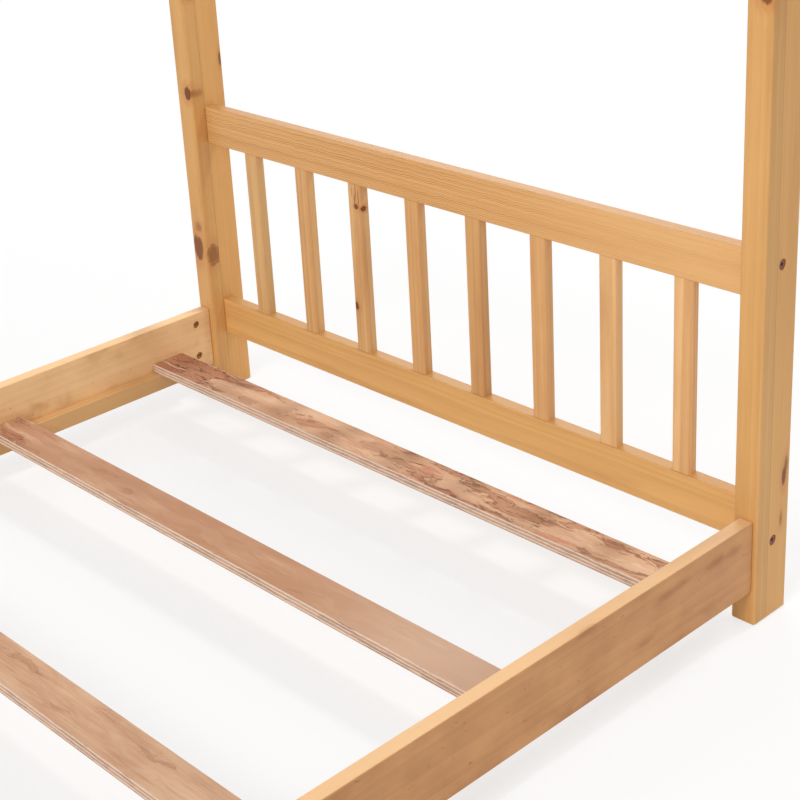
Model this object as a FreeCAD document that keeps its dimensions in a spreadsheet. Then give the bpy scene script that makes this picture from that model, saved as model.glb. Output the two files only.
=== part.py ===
import FreeCAD, Part
import math
import os
import Sketcher
from FreeCAD import Placement, Rotation, Vector

# House frame bed for a twin mattress, in varnished pine.
#
# X runs across the bed, Y along it, Z up.  The floor is Z 0 and the origin is the middle of the
# bed's footprint.  The head end is at +Y and the foot end at -Y: both have the same spindle panel
# between two posts.  The posts carry two gables, and a ridge beam and two eave beams join the
# gables along the bed.  The side rails hang between the posts, and a cleat on the inner face of
# each rail carries the loose plywood slats.

doc = FreeCAD.newDocument("HouseFrameBed")

# Driving dimensions in millimetres, angles in degrees.
DIMENSIONS = [
    ("OverallWidth", 1060, "outer faces of the left and right posts"),
    ("OverallLength", 2000, "outer faces of the head and foot posts"),
    ("OverallHeight", 1650, "floor to the point of the gables"),
    ("RoofPitch", 40, "slope of the rafters"),
    ("PostWidth", 34, "post and rafter, across the bed"),
    ("PostDepth", 64, "post and rafter, along the bed"),
    ("PostRound", 4, "rounding of the long edges of posts and rafters"),
    ("FootChamfer", 1.5, "chamfer round the foot of a post"),
    ("RailHeight", 58, "panel rails and eave beams"),
    ("RailThick", 20, "panel rails and eave beams"),
    ("BoardRound", 2, "rounding of rails and beams"),
    ("RailSetback", 23, "post's inner face to the panel rail's inner face"),
    ("UpperRailBase", 408, "floor to the underside of the upper panel rail"),
    ("LowerRailBase", 94, "floor to the underside of the lower panel rail"),
    ("SpindleWidth", 27, "spindle, across the bed"),
    ("SpindleThick", 16, "spindle, along the bed"),
    ("SpindleRound", 3.5, "rounding of a spindle's long edges"),
    ("SpindlePitch", 114, "from one spindle to the next"),
    ("SpindleCount", 8, "spindles in a panel"),
    ("TenonDiameter", 9, "round tenon at each end of a spindle"),
    ("TenonLength", 16, "how far a tenon enters its rail"),
    ("SideRailHeight", 95, "side rail"),
    ("SideRailThick", 19, "side rail"),
    ("SideRailBase", 45, "floor to the underside of the side rail"),
    ("SideRailInset", 5.5, "post's outer face to the side rail's outer face"),
    ("CleatWidth", 16, "cleat, away from the side rail"),
    ("CleatHeight", 26, "cleat"),
    ("CleatEndGap", 45, "post to the end of the cleat"),
    ("CleatRound", 1.5, "rounding of the cleat's edges"),
    ("SlatWidth", 56, "slat, along the bed"),
    ("SlatThick", 14, "slat"),
    ("SlatEndGap", 1.5, "slat's end to the side rail"),
    ("SlatEase", 0.6, "eased edges of a slat"),
    ("SlatFirst", 89, "head posts to the middle of the first slat"),
    ("SlatSecond", 382, "head posts to the middle of the second slat"),
    ("SlatThird", 710, "head posts to the middle of the third slat"),
    ("EaveBeamTop", 1180, "floor to the top of the eave beams"),
    ("RidgeWidth", 64, "ridge beam, across the bed"),
    ("RidgeHeight", 34, "ridge beam"),
    ("RidgeTop", 1620, "floor to the top of the ridge beam"),
    ("BoltDiameter", 6, "connector bolt M6"),
    ("BoltHole", 7, "clearance hole of a bolt"),
    ("HeadDiameter", 12.5, "bolt head"),
    ("HeadHeight", 5, "bolt head"),
    ("SocketSize", 4, "hexagon socket, across the flats"),
    ("SocketDepth", 3, "hexagon socket"),
    ("RecessDiameter", 13.5, "recess of a bolt head"),
    ("RecessDepth", 6, "recess of a bolt head"),
    ("PanelBoltLength", 58, "bolt through a post into a panel rail"),
    ("LongBoltLength", 88, "bolt through a post's depth into a rail or beam"),
    ("RafterBoltLength", 48, "bolt through a rafter into the post below"),
    ("NutDiameter", 12, "barrel nut"),
    ("NutLength", 14, "barrel nut"),
    ("NutFromEnd", 27, "end of a rail to the middle of its barrel nut"),
    ("SlotWidth", 1.6, "screwdriver slot of a barrel nut"),
    ("SlotDepth", 1.8, "screwdriver slot of a barrel nut"),
    ("DowelDiameter", 8, "dowel"),
    ("DowelLength", 36, "dowel of a rail or beam"),
    ("RafterDowelLength", 26, "dowel of a mitre joint"),
    ("MitreDowelSpread", 18, "mitre dowel to the middle of the rafter's depth"),
    ("UpperBoltHeight", 454, "bolt of the upper panel rail"),
    ("UpperDowelHeight", 422, "dowel of the upper panel rail"),
    ("LowerBoltHeight", 104, "bolt of the lower panel rail"),
    ("LowerDowelHeight", 138, "dowel of the lower panel rail"),
    ("SideBoltLow", 68, "lower bolt of a side rail"),
    ("SideBoltHigh", 121, "upper bolt of a side rail"),
    ("EaveBoltHeight", 1136, "bolt of an eave beam"),
    ("EaveDowelHeight", 1164, "dowel of an eave beam"),
    ("RidgeBoltSpread", 18, "bolt of the ridge beam to the bed's middle"),
    ("RafterBoltSeat", 1210, "underside of the bolt head in a rafter's foot"),
    ("PostNutHeight", 1167, "barrel nut in the top of a post"),
    ("ApexDowelHeight", 1623, "dowels between the two rafters"),
    ("ScrewDiameter", 4, "cleat screw"),
    ("ScrewHeadDiameter", 8, "cleat screw"),
    ("ScrewHeadHeight", 2.5, "cleat screw"),
    ("ScrewLength", 30, "cleat screw"),
]

sheet = doc.addObject("Spreadsheet::Sheet", "Dims")
for row, (alias, value, meaning) in enumerate(DIMENSIONS, 1):
    sheet.set(f"A{row}", meaning)
    sheet.set(f"B{row}", str(value))
    sheet.setAlias(f"B{row}", alias)
doc.recompute()
size = {alias: float(value) for alias, value, meaning in DIMENSIONS}

X_AXIS = Vector(1, 0, 0)
Y_AXIS = Vector(0, 1, 0)
Z_AXIS = Vector(0, 0, 1)

# Lengths that several pieces share, as expressions on the sheet.
HALF_WIDTH = "Dims.OverallWidth / 2"
POST_X = "(Dims.OverallWidth - Dims.PostWidth) / 2"
POST_Y = "(Dims.OverallLength - Dims.PostDepth) / 2"
INNER_WIDTH = "(Dims.OverallWidth - 2 * Dims.PostWidth)"
INNER_LENGTH = "(Dims.OverallLength - 2 * Dims.PostDepth)"
PANEL_Y = "(Dims.OverallLength / 2 - Dims.PostDepth + Dims.RailSetback + Dims.RailThick / 2)"
SIDE_RAIL_X = "(Dims.OverallWidth / 2 - Dims.SideRailInset - Dims.SideRailThick / 2)"
SIDE_RAIL_INNER_X = "(Dims.OverallWidth / 2 - Dims.SideRailInset - Dims.SideRailThick)"
EAVE_HEIGHT = "(Dims.OverallHeight - Dims.OverallWidth / 2 * tan(Dims.RoofPitch))"
EAVE_DROP = "(Dims.PostWidth * (1 / cos(Dims.RoofPitch) - tan(Dims.RoofPitch)))"
RIDGE_MIDDLE = "(Dims.RidgeTop - Dims.RidgeHeight / 2)"
EAVE_MIDDLE = "(Dims.EaveBeamTop - Dims.RailHeight / 2)"

nodes = []


def finished(item):
    """Keep a sub-part in the list that is checked and written at the end."""
    nodes.append(item)
    return item


def new_body(name):
    body = doc.addObject("PartDesign::Body", name)
    body.Label = name
    return body


def place(item, spot, turn=0):
    """Put an item at a spot given as three expressions, turned about Z by whole degrees."""
    item.Placement = Placement(Vector(), Rotation(Z_AXIS, turn))
    for letter, text in zip("xyz", spot):
        item.setExpression(f"Placement.Base.{letter}", text)


def origin_feature(body, role):
    return next(item for item in body.Origin.OriginFeatures if item.Role == role)


def new_sketch(body, name, role):
    sketch = body.newObject("Sketcher::SketchObject", name)
    sketch.AttachmentSupport = [(origin_feature(body, role), "")]
    sketch.MapMode = "FlatFace"
    return sketch


def closed_outline(sketch, points):
    """Straight lines through the points, joined end to end."""
    lines = [
        Part.LineSegment(Vector(*start, 0), Vector(*end, 0))
        for start, end in zip(points, points[1:] + points[:1])
    ]
    sketch.addGeometry(lines, False)
    last = len(lines) - 1
    for index in range(len(lines)):
        following = 0 if index == last else index + 1
        sketch.addConstraint(Sketcher.Constraint("Coincident", index, 2, following, 1))


def drive(sketch, name, text, kind, *elements):
    """Add a constraint and drive it by an expression on the sheet."""
    start = sheet.evalExpression(text)
    number = float(getattr(start, "Value", start))
    if kind == "Angle":
        number = math.radians(number)
    index = sketch.addConstraint(Sketcher.Constraint(kind, *elements, number))
    sketch.renameConstraint(index, name)
    sketch.setExpression(f"Constraints.{name}", text)


def centred_rectangle(body, name, role, width, height):
    """A rectangle about the body's origin, with its two sizes driven by the sheet."""
    sketch = new_sketch(body, name, role)
    closed_outline(sketch, [(-5, -5), (5, -5), (5, 5), (-5, 5)])
    for index in (0, 2):
        sketch.addConstraint(Sketcher.Constraint("Horizontal", index))
    for index in (1, 3):
        sketch.addConstraint(Sketcher.Constraint("Vertical", index))
    sketch.addConstraint(Sketcher.Constraint("Symmetric", 0, 1, 1, 2, -1, 1))
    drive(sketch, "Width", width, "DistanceX", 0, 1, 0, 2)
    drive(sketch, "Height", height, "DistanceY", 1, 1, 1, 2)
    return sketch


def pad_both_ways(body, name, sketch, length):
    pad = body.newObject("PartDesign::Pad", name)
    pad.Profile = sketch
    pad.Midplane = True
    pad.setExpression("Length", length)
    doc.recompute()
    return pad


def edges_along(shape, axis):
    """Names of the straight edges that run along an axis."""
    names = []
    for index, edge in enumerate(shape.Edges, 1):
        if not isinstance(edge.Curve, Part.Line):
            continue
        direction = edge.tangentAt(edge.FirstParameter)
        if abs(direction.dot(axis)) > 0.9999:
            names.append(f"Edge{index}")
    return names


def all_edges(shape):
    return [f"Edge{index}" for index in range(1, len(shape.Edges) + 1)]


def round_edges(body, base, names, radius):
    fillet = body.newObject("PartDesign::Fillet", "Rounding")
    fillet.Base = (base, names)
    fillet.setExpression("Radius", radius)
    doc.recompute()
    return fillet


def drill(body, name, diameter, depth, spot, axis):
    """A round hole that starts at a spot, given as three expressions, and runs along an axis."""
    hole = body.newObject("PartDesign::SubtractiveCylinder", name)
    hole.Placement = Placement(Vector(), Rotation(Z_AXIS, axis))
    hole.setExpression("Radius", f"{diameter} / 2")
    hole.setExpression("Height", depth)
    for letter, text in zip("xyz", spot):
        hole.setExpression(f"Placement.Base.{letter}", text)
    return hole


def signed(sign, text):
    """The expression, with a minus before it on the negative side."""
    return text if sign > 0 else f"-({text})"


# Posts.  The body's own origin is the middle of the foot.  The outline is drawn in elevation, with
# the top cut to meet the rafter: hand is 1 where the outer side is +X, and -1 where it is -X.


def make_post(name, hand, spot, turn):
    body = new_body(name)
    half = size["PostWidth"] / 2
    top = size["EaveBeamTop"]
    sketch = new_sketch(body, "Elevation", "XZ_Plane")
    closed_outline(sketch, [(-half, 0), (half, 0), (half, top + hand), (-half, top - hand)])
    sketch.addConstraint(Sketcher.Constraint("Horizontal", 0))
    sketch.addConstraint(Sketcher.Constraint("Vertical", 1))
    sketch.addConstraint(Sketcher.Constraint("Vertical", 3))
    sketch.addConstraint(Sketcher.Constraint("Symmetric", 0, 1, 0, 2, -1, 1))
    drive(sketch, "Width", "Dims.PostWidth", "DistanceX", 0, 1, 0, 2)
    # Lines 1 and 3 are the sides: the outer one is the longer.
    outer_line = (1, 1, 1, 2) if hand > 0 else (3, 2, 3, 1)
    inner_line = (3, 2, 3, 1) if hand > 0 else (1, 1, 1, 2)
    drive(sketch, "OuterSide", EAVE_HEIGHT, "DistanceY", *outer_line)
    drive(sketch, "InnerSide", f"{EAVE_HEIGHT} - {EAVE_DROP}", "DistanceY", *inner_line)
    pad = pad_both_ways(body, "Stock", sketch, "Dims.PostDepth")
    rounding = round_edges(body, pad, edges_along(pad.Shape, Z_AXIS), "Dims.PostRound")
    foot_edges = [
        f"Edge{index}"
        for index, edge in enumerate(rounding.Shape.Edges, 1)
        if edge.BoundBox.ZMax < 0.01
    ]
    chamfer = body.newObject("PartDesign::Chamfer", "FootEase")
    chamfer.Base = (rounding, foot_edges)
    chamfer.setExpression("Size", "Dims.FootChamfer")
    doc.recompute()

    # Bolts and dowels of the panel rails, drilled across the post from its outer side.
    outer_face = signed(hand, "Dims.PostWidth / 2")
    inner_face = signed(-hand, "Dims.PostWidth / 2")
    inward = X_AXIS * -hand
    panel_line = "Dims.RailSetback + Dims.RailThick / 2 - Dims.PostDepth / 2"
    for label, height in (("Upper", "Dims.UpperBoltHeight"), ("Lower", "Dims.LowerBoltHeight")):
        bolt_spot = (outer_face, panel_line, height)
        drill(body, f"{label}PanelBolt", "Dims.BoltHole", "Dims.PostWidth", bolt_spot, inward)
        drill(body, f"{label}PanelRecess", "Dims.RecessDiameter", "Dims.RecessDepth", bolt_spot, inward)
    for label, height in (("Upper", "Dims.UpperDowelHeight"), ("Lower", "Dims.LowerDowelHeight")):
        dowel_spot = (inner_face, panel_line, height)
        drill(body, f"{label}PanelDowel", "Dims.DowelDiameter", "Dims.DowelLength / 2", dowel_spot, -inward)

    # Bolts of the side rail and the eave beam, drilled along the bed from the post's end face.
    side_line = signed(hand, f"{SIDE_RAIL_X} - {POST_X}")
    end_face = "Dims.PostDepth / 2"
    for label, line, height in (
        ("LowSideRail", side_line, "Dims.SideBoltLow"),
        ("HighSideRail", side_line, "Dims.SideBoltHigh"),
        ("EaveBeam", "0", "Dims.EaveBoltHeight"),
    ):
        bolt_spot = (line, end_face, height)
        drill(body, f"{label}Bolt", "Dims.BoltHole", "Dims.PostDepth", bolt_spot, -Y_AXIS)
        drill(body, f"{label}Recess", "Dims.RecessDiameter", "Dims.RecessDepth", bolt_spot, -Y_AXIS)
    dowel_spot = ("0", "-Dims.PostDepth / 2", "Dims.EaveDowelHeight")
    drill(body, "EaveBeamDowel", "Dims.DowelDiameter", "Dims.DowelLength / 2", dowel_spot, Y_AXIS)

    # The top takes the rafter's bolt, its barrel nut and two dowels.
    shaft_depth = "Dims.RafterBoltSeat - Dims.PostNutHeight + Dims.NutDiameter / 2"
    drill(body, "RafterBolt", "Dims.BoltHole", shaft_depth, ("0", "0", "Dims.RafterBoltSeat"), -Z_AXIS)
    nut_depth = "(Dims.PostWidth + Dims.NutLength) / 2"
    nut_spot = (inner_face, "0", "Dims.PostNutHeight")
    drill(body, "RafterNut", "Dims.NutDiameter", nut_depth, nut_spot, -inward)
    mitre_middle = f"{EAVE_HEIGHT} - {EAVE_DROP} / 2"
    for label, sign in (("Near", -1), ("Far", 1)):
        dowel_base = f"{mitre_middle} - Dims.RafterDowelLength / 2"
        dowel_spot = ("0", signed(sign, "Dims.MitreDowelSpread"), dowel_base)
        drill(body, f"{label}MitreDowel", "Dims.DowelDiameter", "Dims.RafterDowelLength", dowel_spot, Z_AXIS)
    place(body, spot, turn)
    return finished(body)


POSTS = {
    "post_head_right": (1, 1),
    "post_head_left": (-1, 1),
    "post_foot_left": (-1, -1),
    "post_foot_right": (1, -1),
}
for post_name, (side, end) in POSTS.items():
    post_spot = (signed(side, POST_X), signed(end, POST_Y), "0")
    make_post(post_name, side * end, post_spot, 0 if end > 0 else 180)


# Panel rails.  The body's own origin is the middle of the rail, with +Y towards the bed's end.
# The upper rail takes the spindles from below, and the lower rail from above.


def make_panel_rail(name, upper, spot, turn):
    body = new_body(name)
    sketch = centred_rectangle(body, "Section", "YZ_Plane", "Dims.RailThick", "Dims.RailHeight")
    pad = pad_both_ways(body, "Stock", sketch, INNER_WIDTH)
    round_edges(body, pad, all_edges(pad.Shape), "Dims.BoardRound")
    base = "Dims.UpperRailBase" if upper else "Dims.LowerRailBase"
    bolt_height = "Dims.UpperBoltHeight" if upper else "Dims.LowerBoltHeight"
    dowel_height = "Dims.UpperDowelHeight" if upper else "Dims.LowerDowelHeight"
    middle = f"({base} + Dims.RailHeight / 2)"
    bolt_line = f"{bolt_height} - {middle}"
    dowel_line = f"{dowel_height} - {middle}"
    dowel_depth = "Dims.DowelLength / 2"
    for label, side in (("Right", 1), ("Left", -1)):
        end_face = signed(side, f"{INNER_WIDTH} / 2")
        inward = X_AXIS * -side
        bolt_depth = "Dims.NutFromEnd + Dims.NutDiameter / 2 + 2"
        drill(body, f"{label}Bolt", "Dims.BoltHole", bolt_depth, (end_face, "0", bolt_line), inward)
        drill(body, f"{label}Dowel", "Dims.DowelDiameter", dowel_depth, (end_face, "0", dowel_line), inward)
        nut_spot = (signed(side, f"{INNER_WIDTH} / 2 - Dims.NutFromEnd"), "Dims.RailThick / 2", bolt_line)
        nut_depth = "(Dims.RailThick + Dims.NutLength) / 2"
        drill(body, f"{label}Nut", "Dims.NutDiameter", nut_depth, nut_spot, -Y_AXIS)
    # The row of mortises: the first one, repeated along the rail.
    facing = -1 if upper else 1
    first_x = "-(Dims.SpindleCount - 1) * Dims.SpindlePitch / 2"
    mortise_spot = (first_x, "0", signed(facing, "Dims.RailHeight / 2"))
    into_rail = Z_AXIS * -facing
    mortise = drill(body, "Mortise", "Dims.TenonDiameter", "Dims.TenonLength", mortise_spot, into_rail)
    doc.recompute()
    row = body.newObject("PartDesign::LinearPattern", "MortiseRow")
    row.Originals = [mortise]
    row.Direction = (origin_feature(body, "X_Axis"), [""])
    row.Occurrences = int(size["SpindleCount"])
    row.setExpression("Length", "(Dims.SpindleCount - 1) * Dims.SpindlePitch")
    body.Tip = row
    place(body, (spot[0], spot[1], f"{middle}"), turn)
    return finished(body)


# Spindles.  The body's own origin is the middle of the spindle.  The board has a round tenon at
# each end, which is one long peg through its middle.


def make_spindle(name, spot):
    body = new_body(name)
    gap = "(Dims.UpperRailBase - Dims.LowerRailBase - Dims.RailHeight)"
    sketch = centred_rectangle(body, "Section", "XY_Plane", "Dims.SpindleWidth", "Dims.SpindleThick")
    pad = pad_both_ways(body, "Stock", sketch, gap)
    round_edges(body, pad, edges_along(pad.Shape, Z_AXIS), "Dims.SpindleRound")
    tenon = body.newObject("PartDesign::AdditiveCylinder", "Tenons")
    tenon.setExpression("Radius", "Dims.TenonDiameter / 2")
    tenon.setExpression("Height", f"{gap} + 2 * Dims.TenonLength")
    tenon.setExpression("Placement.Base.z", f"-{gap} / 2 - Dims.TenonLength")
    place(body, spot)
    return finished(body)


for end_name, end in (("head", 1), ("foot", -1)):
    panel_spot = ("0", signed(end, PANEL_Y))
    panel_turn = 0 if end > 0 else 180
    make_panel_rail(f"{end_name}_upper_rail", True, panel_spot, panel_turn)
    make_panel_rail(f"{end_name}_lower_rail", False, panel_spot, panel_turn)
    spindle_middle = "(Dims.UpperRailBase + Dims.LowerRailBase + Dims.RailHeight) / 2"
    for number in range(int(size["SpindleCount"])):
        spindle_x = f"({number} - (Dims.SpindleCount - 1) / 2) * Dims.SpindlePitch"
        spindle_spot = (spindle_x, signed(end, PANEL_Y), spindle_middle)
        make_spindle(f"{end_name}_spindle_{number + 1}", spindle_spot)


# Long boards: side rails and eave beams.  The body's own origin is the middle of the board, with
# +X towards the outside of the bed.


def make_long_board(name, thick, height, bolt_lines, dowel_lines, spot, turn):
    body = new_body(name)
    sketch = centred_rectangle(body, "Section", "XZ_Plane", thick, height)
    pad = pad_both_ways(body, "Stock", sketch, INNER_LENGTH)
    round_edges(body, pad, all_edges(pad.Shape), "Dims.BoardRound")
    for label, end in (("Head", 1), ("Foot", -1)):
        end_face = signed(end, f"{INNER_LENGTH} / 2")
        inward = Y_AXIS * -end
        for number, line in enumerate(bolt_lines, 1):
            bolt_depth = "Dims.NutFromEnd + Dims.NutDiameter / 2 + 2"
            drill(body, f"{label}Bolt{number}", "Dims.BoltHole", bolt_depth, ("0", end_face, line), inward)
            nut_y = signed(end, f"{INNER_LENGTH} / 2 - Dims.NutFromEnd")
            nut_depth = f"({thick} + Dims.NutLength) / 2"
            nut_spot = (f"-{thick} / 2", nut_y, line)
            drill(body, f"{label}Nut{number}", "Dims.NutDiameter", nut_depth, nut_spot, X_AXIS)
        for number, line in enumerate(dowel_lines, 1):
            dowel_depth = "Dims.DowelLength / 2"
            dowel_spot = ("0", end_face, line)
            drill(body, f"{label}Dowel{number}", "Dims.DowelDiameter", dowel_depth, dowel_spot, inward)
    place(body, spot, turn)
    return body


# Slats and the cleats that carry them.  Three slats lie where the bed shows them, and the others
# share the rest of the length evenly.  Each slat hides a screw of the cleat below it.

first, second, third = (size[cell] for cell in ("SlatFirst", "SlatSecond", "SlatThird"))
inner_length = size["OverallLength"] - 2 * size["PostDepth"]
LATER_STEP = "((Dims.OverallLength - 2 * Dims.PostDepth - Dims.SlatFirst - Dims.SlatThird) / 3)"
SLAT_LINES = [
    "Dims.SlatFirst",
    "Dims.SlatSecond",
    "Dims.SlatThird",
    f"Dims.SlatThird + {LATER_STEP}",
    f"Dims.SlatThird + 2 * {LATER_STEP}",
    f"Dims.SlatThird + 3 * {LATER_STEP}",
]
later_step = (inner_length - first - third) / 3
slat_distances = [first, second, third] + [third + step * later_step for step in (1, 2, 3)]
HEAD_FACE = f"{INNER_LENGTH} / 2"


def make_slat(name, line):
    body = new_body(name)
    length = f"2 * ({SIDE_RAIL_INNER_X} - Dims.SlatEndGap)"
    sketch = centred_rectangle(body, "Section", "YZ_Plane", "Dims.SlatWidth", "Dims.SlatThick")
    pad = pad_both_ways(body, "Stock", sketch, length)
    ease = body.newObject("PartDesign::Chamfer", "EasedEdges")
    ease.Base = (pad, all_edges(pad.Shape))
    ease.setExpression("Size", "Dims.SlatEase")
    height = "Dims.SideRailBase + Dims.CleatHeight + Dims.SlatThick / 2"
    place(body, ("0", f"{HEAD_FACE} - ({line})", height))
    return finished(body)


def make_cleat(name, spot, turn):
    """A batten with one countersunk screw hole below each slat, seen from its own -X side."""
    body = new_body(name)
    sketch = centred_rectangle(body, "Section", "XZ_Plane", "Dims.CleatWidth", "Dims.CleatHeight")
    pad = pad_both_ways(body, "Stock", sketch, f"{INNER_LENGTH} - 2 * Dims.CleatEndGap")
    round_edges(body, pad, edges_along(pad.Shape, Y_AXIS), "Dims.CleatRound")
    along = 1 if turn == 0 else -1
    for number, line in enumerate(SLAT_LINES, 1):
        screw_spot = ("-Dims.CleatWidth / 2", signed(along, f"{HEAD_FACE} - ({line})"), "0")
        drill(body, f"Shank{number}", "Dims.ScrewDiameter", "Dims.CleatWidth", screw_spot, X_AXIS)
        sink = body.newObject("PartDesign::SubtractiveCone", f"Countersink{number}")
        sink.Placement = Placement(Vector(), Rotation(Z_AXIS, X_AXIS))
        sink.setExpression("Radius1", "Dims.ScrewHeadDiameter / 2")
        sink.setExpression("Radius2", "Dims.ScrewDiameter / 2")
        sink.setExpression("Height", "Dims.ScrewHeadHeight")
        for letter, text in zip("xyz", screw_spot):
            sink.setExpression(f"Placement.Base.{letter}", text)
    place(body, spot, turn)
    return finished(body)


side_rail_middle = "Dims.SideRailBase + Dims.SideRailHeight / 2"
cleat_middle = "Dims.SideRailBase + Dims.CleatHeight / 2"
for side_name, side in (("right", 1), ("left", -1)):
    turn = 0 if side > 0 else 180
    side_rail = make_long_board(
        f"side_rail_{side_name}",
        "Dims.SideRailThick",
        "Dims.SideRailHeight",
        [f"{cell} - ({side_rail_middle})" for cell in ("Dims.SideBoltLow", "Dims.SideBoltHigh")],
        [],
        (signed(side, SIDE_RAIL_X), "0", side_rail_middle),
        turn,
    )
    pilot_depth = "Dims.ScrewLength - Dims.CleatWidth"
    along = 1 if side > 0 else -1
    for number, line in enumerate(SLAT_LINES, 1):
        pilot_y = signed(along, f"{HEAD_FACE} - ({line})")
        pilot_spot = ("-Dims.SideRailThick / 2", pilot_y, f"{cleat_middle} - ({side_rail_middle})")
        drill(side_rail, f"Pilot{number}", "Dims.ScrewDiameter", pilot_depth, pilot_spot, X_AXIS)
    finished(side_rail)
    cleat_x = f"{SIDE_RAIL_INNER_X} - Dims.CleatWidth / 2"
    make_cleat(f"cleat_{side_name}", (signed(side, cleat_x), "0", cleat_middle), turn)
    eave_beam = make_long_board(
        f"eave_beam_{side_name}",
        "Dims.RailThick",
        "Dims.RailHeight",
        [f"Dims.EaveBoltHeight - {EAVE_MIDDLE}"],
        [f"Dims.EaveDowelHeight - {EAVE_MIDDLE}"],
        (signed(side, POST_X), "0", EAVE_MIDDLE),
        turn,
    )
    finished(eave_beam)

for number, slat_line in enumerate(SLAT_LINES, 1):
    make_slat(f"slat_{number}", slat_line)


# Rafters.  The body's own origin is on the floor, below the point of the gable, so the outline is
# drawn at its real height: hand is 1 where the eave is at +X.


def make_rafter(name, hand, spot, turn):
    body = new_body(name)
    sketch = new_sketch(body, "Elevation", "XZ_Plane")
    pitch = math.radians(size["RoofPitch"])
    eave = size["OverallHeight"] - size["OverallWidth"] / 2 * math.tan(pitch)
    plumb = size["PostWidth"] / math.cos(pitch)
    drop = plumb - size["PostWidth"] * math.tan(pitch)
    half = size["OverallWidth"] / 2
    outline = [
        (hand * half, eave),
        (0, size["OverallHeight"]),
        (0, size["OverallHeight"] - plumb),
        (hand * (half - size["PostWidth"]), eave - drop),
    ]
    closed_outline(sketch, outline)
    sketch.addConstraint(Sketcher.Constraint("PointOnObject", 0, 2, -2))
    sketch.addConstraint(Sketcher.Constraint("Vertical", 1))
    sketch.addConstraint(Sketcher.Constraint("Parallel", 0, 2))
    drive(sketch, "Height", "Dims.OverallHeight", "DistanceY", -1, 1, 0, 2)
    eave_span = (-1, 1, 0, 1) if hand > 0 else (0, 1, -1, 1)
    inner_span = (-1, 1, 2, 2) if hand > 0 else (2, 2, -1, 1)
    drive(sketch, "EaveSpan", HALF_WIDTH, "DistanceX", *eave_span)
    drive(sketch, "InnerSpan", f"{HALF_WIDTH} - Dims.PostWidth", "DistanceX", *inner_span)
    drive(sketch, "EaveRise", EAVE_HEIGHT, "DistanceY", -1, 1, 0, 1)
    drive(sketch, "InnerRise", f"{EAVE_HEIGHT} - {EAVE_DROP}", "DistanceY", -1, 1, 2, 2)
    pad = pad_both_ways(body, "Stock", sketch, "Dims.PostDepth")
    slope = Vector(-hand * math.cos(pitch), 0, math.sin(pitch))
    round_edges(body, pad, edges_along(pad.Shape, slope), "Dims.PostRound")

    # The foot: a recessed bolt and two dowels down into the post.
    post_line = signed(hand, POST_X)
    seat = (post_line, "0", "Dims.RafterBoltSeat")
    drill(body, "FootBolt", "Dims.BoltHole", "Dims.RafterBoltSeat - Dims.EaveBeamTop", seat, -Z_AXIS)
    drill(body, "FootRecess", "Dims.RecessDiameter", "Dims.PostWidth", seat, Z_AXIS)
    mitre_middle = f"{EAVE_HEIGHT} - {EAVE_DROP} / 2"
    for label, sign in (("Near", -1), ("Far", 1)):
        dowel_base = f"{mitre_middle} - Dims.RafterDowelLength / 2"
        dowel_spot = (post_line, signed(sign, "Dims.MitreDowelSpread"), dowel_base)
        drill(body, f"{label}FootDowel", "Dims.DowelDiameter", "Dims.RafterDowelLength", dowel_spot, Z_AXIS)
        # The head: half of a dowel that crosses to the other rafter.
        head_spot = ("0", signed(sign, "Dims.MitreDowelSpread"), "Dims.ApexDowelHeight")
        head_depth = "Dims.RafterDowelLength / 2"
        drill(body, f"{label}HeadDowel", "Dims.DowelDiameter", head_depth, head_spot, X_AXIS * hand)
    # The bolt of the ridge beam, along the bed from the gable's outer face.
    ridge_spot = (signed(hand, "Dims.RidgeBoltSpread"), "Dims.PostDepth / 2", RIDGE_MIDDLE)
    drill(body, "RidgeBolt", "Dims.BoltHole", "Dims.PostDepth", ridge_spot, -Y_AXIS)
    drill(body, "RidgeRecess", "Dims.RecessDiameter", "Dims.RecessDepth", ridge_spot, -Y_AXIS)
    place(body, spot, turn)
    return finished(body)


for end_name, end in (("head", 1), ("foot", -1)):
    for side_name, side in (("right", 1), ("left", -1)):
        rafter_turn = 0 if end > 0 else 180
        gable_spot = ("0", signed(end, POST_Y), "0")
        make_rafter(f"rafter_{end_name}_{side_name}", side * end, gable_spot, rafter_turn)


def make_ridge_beam():
    body = new_body("ridge_beam")
    sketch = centred_rectangle(body, "Section", "XZ_Plane", "Dims.RidgeWidth", "Dims.RidgeHeight")
    pad = pad_both_ways(body, "Stock", sketch, INNER_LENGTH)
    round_edges(body, pad, all_edges(pad.Shape), "Dims.BoardRound")
    for end_label, end in (("Head", 1), ("Foot", -1)):
        for side_label, side in (("Right", 1), ("Left", -1)):
            bolt_x = signed(side, "Dims.RidgeBoltSpread")
            end_face = signed(end, f"{INNER_LENGTH} / 2")
            bolt_depth = "Dims.NutFromEnd + Dims.NutDiameter / 2 + 2"
            inward = Y_AXIS * -end
            label = f"{end_label}{side_label}"
            drill(body, f"{label}Bolt", "Dims.BoltHole", bolt_depth, (bolt_x, end_face, "0"), inward)
            nut_y = signed(end, f"{INNER_LENGTH} / 2 - Dims.NutFromEnd")
            nut_depth = "(Dims.RidgeHeight + Dims.NutLength) / 2"
            nut_spot = (bolt_x, nut_y, "-Dims.RidgeHeight / 2")
            drill(body, f"{label}Nut", "Dims.NutDiameter", nut_depth, nut_spot, Z_AXIS)
    place(body, ("0", "0", RIDGE_MIDDLE))
    return finished(body)


make_ridge_beam()


# Fasteners.  Each kind is made once, pointing along +Z with the underside of its head, or its
# middle, at the origin, and a group node holds a copy at every place where the bed has one.


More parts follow.
